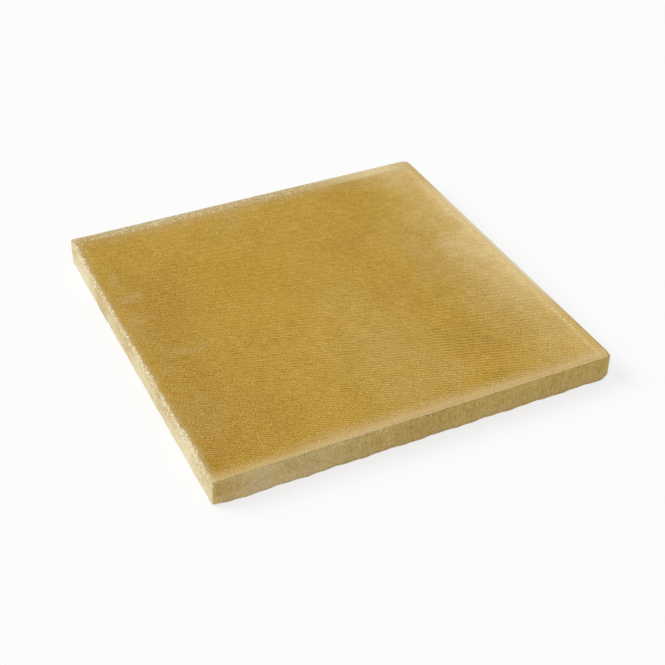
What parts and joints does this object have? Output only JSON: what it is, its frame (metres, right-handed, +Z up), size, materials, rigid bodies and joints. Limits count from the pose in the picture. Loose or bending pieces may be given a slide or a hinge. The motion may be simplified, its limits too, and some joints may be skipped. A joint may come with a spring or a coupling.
{
  "type": "paving slab",
  "caption": "Square pressed concrete paving slab with a finely pimpled face, a plain margin, drafted sides and a ragged lower arris.",
  "frame": {"origin": "middle of the bed face", "axes": "+Z up out of the wearing face, +X along the front edge, +Y towards the back edge"},
  "size_m": [0.45, 0.45, 0.032],
  "materials": {
    "buff_concrete": "pressed concrete dyed buff through, dry and matt, with paler bloom round the edges"
  },
  "bodies": {
    "root": {"paving_slab": "buff_concrete"}
  },
  "joints": []
}
